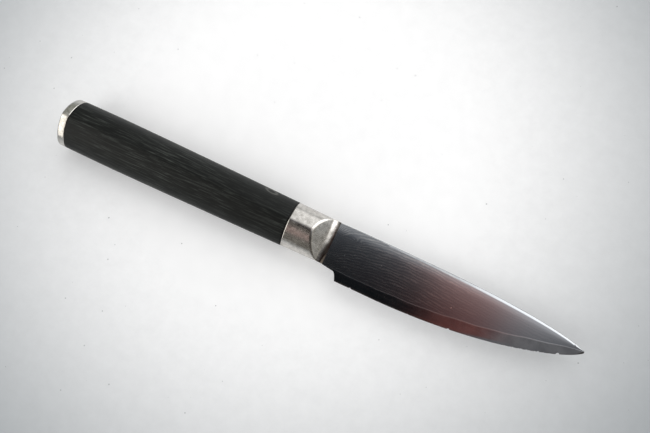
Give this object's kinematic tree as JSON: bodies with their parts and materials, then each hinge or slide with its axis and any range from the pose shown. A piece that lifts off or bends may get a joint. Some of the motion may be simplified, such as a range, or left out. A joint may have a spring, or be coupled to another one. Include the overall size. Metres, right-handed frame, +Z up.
{
  "type": "paring knife",
  "caption": "Short kitchen paring knife with a laminated curved blade, a ground metal bolster, a D-shaped dark wood handle and a metal end cap.",
  "frame": {"origin": "under the middle of the knife's box, on the surface that the knife lies on", "axes": "+X along the handle's axis towards the tip, +Y towards the spine, +Z up, away from the handle's rounded back"},
  "size_m": [0.1932, 0.0204, 0.0165],
  "materials": {
    "core_steel": "finely ground, brighter along the cutting edge",
    "layered_steel": "polished and lightly etched, with wavy layers",
    "satin_stainless": "satin",
    "tang_steel": "as rolled",
    "dark_wood": "resin-bonded wood, sanded and waxed",
    "epoxy": "cured two-part adhesive"
  },
  "bodies": {
    "root": {"blade_core": "core_steel", "cladding_right": "layered_steel", "cladding_left": "layered_steel", "bolster": "satin_stainless", "end_cap": "satin_stainless", "tang": "tang_steel", "handle": "dark_wood", "adhesive_bed": "epoxy"}
  },
  "joints": []
}
